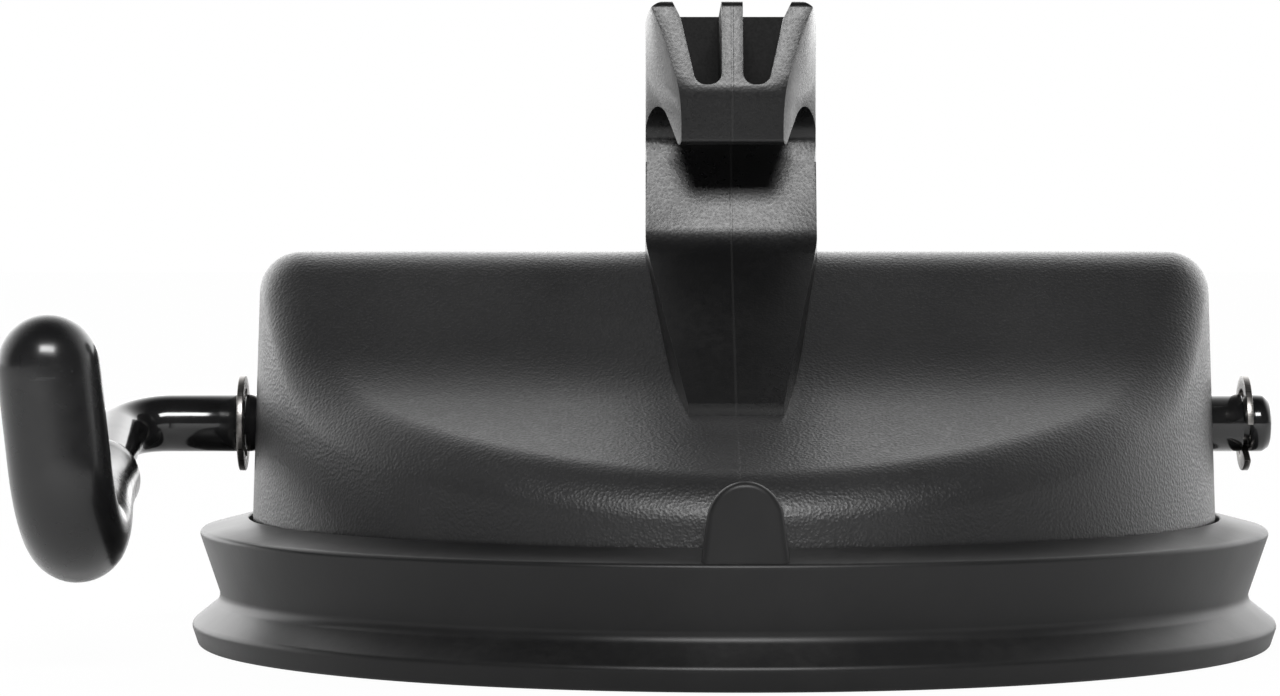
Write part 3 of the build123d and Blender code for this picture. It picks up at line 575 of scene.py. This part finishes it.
def addBosses(bm, level):
    # two round the bushes, and four for the screws that hold the guide plate
    form = housingForm
    inside = level["innerEdge"] - form["bossLength"] + form["wall"]
    outside = level["innerEdge"] + form["bossBite"] * form["wall"]
    for side in (-1, 1):
        start, end = (side * inside, 0, level["rodZ"]), (side * outside, 0, level["rodZ"])
        addCylinder(bm, form["bossRadius"], start, end, 64, form["bushHole"])
    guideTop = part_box("guide_plate")[0][2] + form["guideThick"]
    for i in range(form["screws"]):
        angle = math.tau * (i + 0.5) / form["screws"]
        x, y = form["screwCircle"] * math.cos(angle), form["screwCircle"] * math.sin(angle)
        bossTop = level["top"] - slopeDrop(abs(y) + form["screwBoss"], form) - 0.5 * form["wall"]
        addCylinder(bm, form["screwBoss"], (x, y, guideTop), (x, y, bossTop), 32, form["screwHole"])


def buildHousing():
    form = housingForm
    level = housingLevels()
    bm = bmesh.new()
    wireFromPoints(bm, housingSection(level))
    spinFull(bm, form["spinSteps"])
    shearToSlopes(bm, level)
    piece = finishPiece("housingShell", bm, "base", housingPlastic, ["housing"],
                        form["crease"])
    cutter = bmesh.new()
    for side in (-1, 1):
        start, end = side * form["bushCut"][0], side * form["bushCut"][1]
        addCylinder(cutter, form["bushHole"], (start, 0, level["rodZ"]), (end, 0, level["rodZ"]), 64)
    cutAway(piece, cutter)
    bm = bmesh.new()
    bm.from_mesh(piece.data)
    addBosses(bm, level)
    bm.to_mesh(piece.data)
    bm.free()
    piece.data.set_sharp_from_angle(angle=math.radians(form["crease"]))


buildHousing()
print("housing built")


# rubber pad: turned section with rounded corners, and the tongue that peels it off

padForm = {
    "radius": 60.0 * mm, "undercut": 0.8 * mm, "flangeHeight": 2.4 * mm, "neckRadius": 56.6 * mm,
    "neckHeight": 5.1 * mm, "rimRadius": 59.15 * mm, "rimHeight": 12.6 * mm, "rimTop": 14.0 * mm,
    "wallRadius": 53.62 * mm, "seatHeight": 6.0 * mm, "seatInner": 46.0 * mm, "membraneRadius": 44.0 * mm,
    "membrane": 3.2 * mm, "grooveRadius": 55.4 * mm, "grooveTop": 8.2 * mm, "spinSteps": 288, "crease": 30,
    "ribRadii": (41.0 * mm, 45.5 * mm, 50.0 * mm, 54.0 * mm), "ribDepth": 0.45 * mm, "ribWidth": 0.9 * mm,
    "ribCrest": 0.4,
    "rounding": ((0.35 * mm, 4), (0.5 * mm, 6), (0.9 * mm, 8), (0.6 * mm, 6), (0.35 * mm, 4)),
}
tabForm = {
    "rootWidth": 9.2 * mm, "tipWidth": 6.6 * mm, "thickness": 2.1 * mm, "bottom": 11.4 * mm,
    "rootSink": 0.16 * mm, "radius": 58.85 * mm, "edge": 0.65 * mm, "edgeSteps": 5, "fold": 60,
    "tipShare": 0.49, "tipSteps": 16, "near": 0.001 * mm,
}


def padSection():
    # the sealing face with its ribs, the five outer corners, and the inside with its groove and seat
    form = padForm
    face = [(0, 0, 0)]
    half = form["ribWidth"] / 2
    crest = form["ribCrest"] * half
    for rib in form["ribRadii"]:
        face += [(rib - half, 0, 0), (rib - crest, 0, form["ribDepth"]), (rib + crest, 0, form["ribDepth"]),
                 (rib + half, 0, 0)]
    corners = [
        (form["radius"] - form["undercut"], 0, 0),
        (form["radius"], 0, form["flangeHeight"]),
        (form["neckRadius"], 0, form["neckHeight"]),
        (form["rimRadius"], 0, form["rimHeight"]),
        (form["wallRadius"], 0, form["rimTop"]),
    ]
    inner = [
        (form["wallRadius"], 0, form["grooveTop"]),
        (form["grooveRadius"], 0, form["grooveTop"]),
        (form["grooveRadius"], 0, form["seatHeight"]),
        (form["seatInner"], 0, form["seatHeight"]),
        (form["membraneRadius"], 0, form["membrane"]),
        (0, 0, form["membrane"]),
    ]
    return face, corners, inner


def buildPad():
    form = padForm
    bm = bmesh.new()
    face, corners, inner = padSection()
    verts = wireFromPoints(bm, face + corners + inner)
    for corner, (radius, segments) in zip(verts[len(face):], form["rounding"]):
        roundVert(bm, corner, radius, segments)
    spinFull(bm, form["spinSteps"])
    addTab(bm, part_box("suction_cup")[1][2])
    finishPiece("suctionPad", bm, "base", padRubber, ["suction_cup"], form["crease"])


def tabVerts(bm):
    # the tongue's own vertices, told from the pad's by where they stand before it is bent round
    form = tabForm
    halfWidth, halfThickness = form["tipWidth"] / 2 + form["near"], form["thickness"] / 2 + form["near"]
    return [v for v in bm.verts if v.co.z > form["bottom"] - form["near"]
            and abs(v.co.x) <= halfWidth and abs(v.co.y) <= halfThickness]


def isTipCorner(edge, top):
    first, second = (v.co for v in edge.verts)
    level = abs(first.z - top) < tabForm["near"] and abs(second.z - top) < tabForm["near"]
    return level and abs(first.x - second.x) < tabForm["near"]


def isTabOutline(edge):
    if len(edge.link_faces) != 2 or edge.verts[0].co.z <= tabForm["bottom"] + tabForm["near"]:
        return False
    return edge.calc_face_angle() > math.radians(tabForm["fold"])


def addTab(bm, top):
    form = tabForm
    verts = bmesh.ops.create_cube(bm, size=1.0)["verts"]
    height = top - form["bottom"]
    bmesh.ops.scale(bm, verts=verts, vec=(form["tipWidth"], form["thickness"], height))
    bmesh.ops.translate(bm, verts=verts, vec=(0, 0, form["bottom"] + height / 2))
    corners = [e for e in {e for v in verts for e in v.link_edges} if isTipCorner(e, top)]
    bmesh.ops.bevel(bm, geom=corners, offset=form["tipWidth"] * form["tipShare"], segments=form["tipSteps"],
                    profile=0.5, affect="EDGES", material=-1)
    outline = [e for e in {e for v in tabVerts(bm) for f in v.link_faces for e in f.edges} if isTabOutline(e)]
    bmesh.ops.bevel(bm, geom=outline, offset=form["edge"], segments=form["edgeSteps"], profile=0.5,
                    affect="EDGES", material=-1)
    middle = form["radius"] - form["thickness"] / 2
    for vert in tabVerts(bm):
        share = (top - vert.co.z) / height
        vert.co.x *= 1 + (form["rootWidth"] / form["tipWidth"] - 1) * share
        around = vert.co.x / middle
        reach = middle - vert.co.y - form["rootSink"] * share
        vert.co.x, vert.co.y = reach * math.sin(around), -reach * math.cos(around)


buildPad()
print("pad built")


# lever rod and dipped grip: rings carried along one centre line

leverForm = {
    "rod": 3.175 * mm, "endX": 59.5 * mm, "leverX": -68.3 * mm, "reach": 44.0 * mm, "drop": 11.9 * mm,
    "lean": 2.2 * mm, "gripTop": 37.1 * mm, "grip": 5.25 * mm, "sleeve": 4.35 * mm, "rodBend": 6.0 * mm,
    "gripBend": 7.0 * mm, "sleeveStart": 18.6 * mm, "cover": 2.5 * mm, "groove": 2.45 * mm,
    "grooveHalf": 0.4 * mm, "lipLength": 0.12 * mm, "lipDepth": 0.1 * mm, "chamfer": 0.8 * mm,
    "segments": 56, "bendSteps": 14,
    "squeeze": 0.035, "runSteps": 6, "sleeveGap": 0.05 * mm, "blendStart": 5.0 * mm, "blendSteps": 10,
    "swell": 0.85, "topSteps": 8, "domeSteps": 12, "domeClose": 0.02,
    # mm in from the rod's end, and how much of the chamfer is left there
    "endShape": ((0.0, 1.0), (0.15, 0.55), (0.68, 0.1), (0.9, 0.0)),
    # mm in from the sleeve's lip, and how much of the sleeve's thickness there is
    "lipShape": ((0.0, 0.55), (0.15, 0.8), (0.5, 1.0), (1.2, 1.1), (2.2, 1.04), (3.6, 1.0)),
}


def bendStations(before, corner, after, radius, count):
    # points round a bend, from where it leaves one run to where it joins the next
    back = (before - corner).normalized()
    ahead = (after - corner).normalized()
    half = back.angle(ahead) / 2
    centre = corner + (back + ahead).normalized() * (radius / math.sin(half))
    first = corner + back * (radius / math.tan(half))
    axis = back.cross(ahead).normalized()
    turn = math.pi - 2 * half
    arm = first - centre
    direction = -back
    stations = []
    for i in range(count + 1):
        spin = Matrix.Rotation(-turn * i / count, 3, axis)
        stations.append((centre + spin @ arm, spin @ direction))
    return stations


def leverStations():
    form = leverForm
    rodZ = (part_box("bush_left")[0][2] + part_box("bush_left")[1][2]) / 2
    corners = [
        Vector((form["endX"], 0, rodZ)),
        Vector((form["leverX"], 0, rodZ)),
        Vector((form["leverX"], -form["reach"], rodZ - form["drop"])),
        Vector((form["leverX"] - form["lean"], -form["reach"], form["gripTop"] - form["grip"])),
    ]
    first = bendStations(corners[0], corners[1], corners[2], form["rodBend"], form["bendSteps"])
    second = bendStations(corners[1], corners[2], corners[3], form["gripBend"], form["bendSteps"])
    return corners, first, second


def carryRing(bm, stations, segments):
    # stations: (centre, direction, radius); the ring is extruded from one to the next
    centre, direction, radius = stations[0]
    turn = direction.to_track_quat("Z", "Y")
    place = Matrix.Translation(centre) @ turn.to_matrix().to_4x4()
    ring = bmesh.ops.create_circle(bm, cap_ends=True, segments=segments, radius=radius, matrix=place)["verts"]
    edges = list({e for v in ring for e in v.link_edges})
    for nextCentre, nextDirection, nextRadius in stations[1:]:
        extruded = bmesh.ops.extrude_edge_only(bm, edges=edges)["geom"]
        ring = [g for g in extruded if isinstance(g, bmesh.types.BMVert)]
        edges = [g for g in extruded if isinstance(g, bmesh.types.BMEdge)]
        step = direction.rotation_difference(nextDirection).to_matrix().to_4x4()
        grow = Matrix.Scale(nextRadius / radius, 4)
        move = Matrix.Translation(nextCentre) @ step @ grow @ Matrix.Translation(-centre)
        bmesh.ops.transform(bm, matrix=move, verts=ring)
        centre, direction, radius = nextCentre, nextDirection, nextRadius
    bmesh.ops.holes_fill(bm, edges=edges, sides=0)


def grooveProfile():
    # offset from the clip's middle and radius there, across one clip groove
    form = leverForm
    rod, edge = form["rod"], form["grooveHalf"]
    oneSide = [(edge + form["lipLength"], rod), (edge, rod - form["lipDepth"]), (edge, form["groove"])]
    return oneSide + [(-offset, radius) for offset, radius in reversed(oneSide)]


def buildRod():
    form = leverForm
    corners, first, second = leverStations()
    rod = form["rod"]
    along = Vector((-1, 0, 0))
    across = [(form["endX"] - inward * mm, rod - share * form["chamfer"]) for inward, share in form["endShape"]]
    for clip in ("e_clip_right", "e_clip_left"):
        low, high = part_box(clip)
        middle = (low[0] + high[0]) / 2
        across += [(middle + offset, radius) for offset, radius in grooveProfile()]
    stations = [(Vector((x, 0, corners[0].z)), along, radius) for x, radius in across]
    for i, (point, direction) in enumerate(first):
        thinned = 1 - form["squeeze"] * math.sin(math.pi * i / (len(first) - 1)) ** 2
        stations.append((point, direction, rod * thinned))
    for i in range(1, form["runSteps"]):
        point = first[-1][0].lerp(second[0][0], i / form["runSteps"])
        stations.append((point, first[-1][1], rod))
    stations += [(point, direction, rod) for point, direction in second]
    up = (corners[3] - corners[2]).normalized()
    stations.append((corners[3] - up * form["cover"], up, rod))
    bm = bmesh.new()
    carryRing(bm, stations, form["segments"])
    finishPiece("leverRod", bm, "lever", rodEnamel, ["lever_rod"], 40)


def buildGrip():
    form = leverForm
    corners, first, second = leverStations()
    direction = first[-1][1]
    start = corners[1] + direction * form["sleeveStart"]
    length = (second[0][0] - start).length
    rod, sleeve, grip = form["rod"], form["sleeve"], form["grip"]
    stations = [(start, direction, rod + form["sleeveGap"])]
    for distance, share in form["lipShape"]:
        stations.append((start + direction * distance * mm, direction, rod + (sleeve - rod) * share))
    for i in range(1, form["blendSteps"] + 1):
        share = i / form["blendSteps"]
        distance = form["blendStart"] + (length - form["blendStart"]) * share
        swell = form["swell"] * share * share * (3 - 2 * share)
        stations.append((start + direction * distance, direction, sleeve + (grip - sleeve) * swell))
    for i, (point, way) in enumerate(second[1:]):
        share = form["swell"] + (1 - form["swell"]) * (i + 1) / (len(second) - 1)
        stations.append((point, way, sleeve + (grip - sleeve) * share))
    up = second[-1][1]
    for i in range(1, form["topSteps"] + 1):
        stations.append((second[-1][0].lerp(corners[3], i / form["topSteps"]), up, grip))
    for i in range(1, form["domeSteps"]):
        angle = math.pi / 2 * i / form["domeSteps"]
        stations.append((corners[3] + up * grip * math.sin(angle), up, grip * math.cos(angle)))
    stations.append((corners[3] + up * grip * 0.9995, up, grip * form["domeClose"]))  # a hair below the pole
    bm = bmesh.new()
    carryRing(bm, stations, form["segments"])
    finishPiece("leverGrip", bm, "lever", gripVinyl, ["lever_grip"], 60)


buildRod()
buildGrip()
print("lever built")


# moulded and stamped pieces whose outline is the frame's own: edges broken with a small radius

softenForm = {"near": 0.004 * mm, "flat": 1.5, "segments": 3, "crease": 30}
mouldedFold, stampedFold = 28.0, 50.0
softenedPieces = (
    ("hook_arm", "hookArm", "base", "arm_plastic", armPlastic, 0.35 * mm, mouldedFold),
    ("e_clip_left", "rodClipLeft", "lever", "clip_steel", metals["clipSteel"], 0.1 * mm, stampedFold),
    ("e_clip_right", "rodClipRight", "lever", "clip_steel", metals["clipSteel"], 0.1 * mm, stampedFold),
    ("cam", "liftCam", "lever", "cam_metal", metals["sinteredSteel"], 0.25 * mm, stampedFold),
    ("lift_yoke", "liftYoke", "lift", "plate_steel", metals["zincSheet"], 0.2 * mm, stampedFold),
)


def softened(node, name, body, slot, material, radius, fold):
    form = softenForm
    bm = bmesh.new()
    bm.from_mesh(nodes[node].data)
    bmesh.ops.remove_doubles(bm, verts=bm.verts, dist=form["near"])
    bmesh.ops.dissolve_limit(bm, angle_limit=math.radians(form["flat"]), verts=bm.verts, edges=bm.edges)
    sharp = [e for e in bm.edges if len(e.link_faces) == 2 and e.calc_face_angle() > math.radians(fold)]
    bmesh.ops.bevel(bm, geom=sharp, offset=radius, offset_type="OFFSET", segments=form["segments"],
                    profile=0.5, affect="EDGES", material=-1, clamp_overlap=True)
    bmesh.ops.triangulate(bm, faces=[f for f in bm.faces if len(f.verts) > 4])
    finishPiece(name, bm, body, material, [node], form["crease"])


for row in softenedPieces:
    softened(*row)
print("edges softened")

carriedOver = {
    "arm_screws": metals["screwZinc"], "guide_screws": metals["screwZinc"],
    "guide_plate": plastics["innerPlastic"], "bush_left": plastics["acetalBush"],
    "bush_right": plastics["acetalBush"], "return_springs": metals["springWire"],
    "cam_pin": metals["groundSteel"], "lift_stud": metals["groundSteel"],
    "follower_pin": metals["groundSteel"], "follower_clips": metals["clipSteel"],
    "insert_plate": metals["zincSheet"],
}
for node, material in carriedOver.items():
    carried = nodes[node].data
    carried.materials.clear()
    carried.materials.append(material)
print("hidden pieces given their materials")


# floor, light and camera

floorForm = {"half": 4.0, "below": 0.1 * mm, "dark": (0.90, 0.90, 0.90, 1), "light": (0.93, 0.93, 0.93, 1),
             "rough": 0.75, "seenGlow": 0.97}


def addFloor():
    form = floorForm
    bm = bmesh.new()
    bmesh.ops.create_grid(bm, x_segments=1, y_segments=1, size=form["half"])
    bmesh.ops.translate(bm, verts=bm.verts, vec=(0, 0, -form["below"]))
    mesh = bpy.data.meshes.new("floor")
    bm.to_mesh(mesh)
    bm.free()
    floor = bpy.data.objects.new("floor", mesh)
    bpy.context.scene.collection.objects.link(floor)
    material, tree, shader, place = newMaterial("paleFloor")
    tone = noiseNode(tree, place, 3.0, 2.0, 0.5).outputs[0]
    tree.links.new(mixColour(tree, tone, form["dark"], form["light"]), shader.inputs["Base Color"])
    shader.inputs["Roughness"].default_value = form["rough"]
    glow = addNode(tree, "ShaderNodeEmission")
    glow.inputs["Strength"].default_value = 1.0
    seen = addNode(tree, "ShaderNodeMixShader")
    direct = addNode(tree, "ShaderNodeLightPath").outputs["Is Camera Ray"]
    tree.links.new(mathNode(tree, "MULTIPLY", direct, form["seenGlow"]), seen.inputs[0])
    tree.links.new(shader.outputs[0], seen.inputs[1])
    tree.links.new(glow.outputs[0], seen.inputs[2])
    tree.links.new(seen.outputs[0], tree.nodes["Material Output"].inputs["Surface"])
    mesh.materials.append(material)


studioSweep = {
    "behind": 3.1, "inFront": 0.10, "above": 0.02, "seen": 1.0, "turnFrom": -0.1, "turnTo": 0.75,
    "riseFrom": 0.46, "riseTo": 0.97,
}


def addWorld():
    # a white sweep: bright behind the object, dim in front, dark overhead, and
    # plain white where it is seen directly
    sweep = studioSweep
    world = bpy.data.worlds.new("studio")
    world.use_nodes = True
    tree = world.node_tree
    background = tree.nodes["Background"]
    direction = addNode(tree, "ShaderNodeTexCoord").outputs["Generated"]
    parts = addNode(tree, "ShaderNodeSeparateXYZ")
    tree.links.new(direction, parts.inputs[0])
    behind = rangeNode(tree, parts.outputs["Y"], sweep["turnFrom"], sweep["turnTo"])
    ring = rangeNode(tree, behind, 0.0, 1.0, sweep["inFront"], sweep["behind"])
    overhead = rangeNode(tree, parts.outputs["Z"], sweep["riseFrom"], sweep["riseTo"])
    glow = mixNumber(tree, overhead, ring, sweep["above"])
    direct = addNode(tree, "ShaderNodeLightPath").outputs["Is Camera Ray"]
    background.inputs["Color"].default_value = (1, 1, 1, 1)
    tree.links.new(mixNumber(tree, direct, glow, sweep["seen"]), background.inputs["Strength"])
    bpy.context.scene.world = world


softFront = {"place": (0.0, -0.78, 0.62), "aim": (0.0, 0.0, 0.03), "size": (0.50, 0.22), "power": 7.5}


def addLight():
    light = softFront
    lamp = bpy.data.lights.new("softFront", "AREA")
    lamp.shape = "RECTANGLE"
    lamp.size, lamp.size_y = light["size"]
    lamp.energy = light["power"]
    holder = bpy.data.objects.new("softFront", lamp)
    holder.location = light["place"]
    look = Vector(light["aim"]) - Vector(light["place"])
    holder.rotation_euler = look.to_track_quat("-Z", "Y").to_euler()
    holder.visible_camera = False
    bpy.context.scene.collection.objects.link(holder)


cameraView = {"place": (-0.0108, -0.511, 0.04607), "down": 0.02674, "right": 0.00087, "lens": 129.4,
              "sensor": 36.0, "nearest": 0.01}


def addCamera():
    camera = bpy.data.cameras.new("camera")
    camera.lens = cameraView["lens"]
    camera.sensor_width = cameraView["sensor"]
    camera.clip_start = cameraView["nearest"]
    holder = bpy.data.objects.new("camera", camera)
    holder.location = cameraView["place"]
    look = Vector((cameraView["right"], 1.0, -cameraView["down"]))
    holder.rotation_euler = look.to_track_quat("-Z", "Y").to_euler()
    bpy.context.scene.collection.objects.link(holder)
    bpy.context.scene.camera = holder


addFloor()
addWorld()
addLight()
addCamera()
bpy.context.scene.view_settings.view_transform = "Standard"
print("stage set")
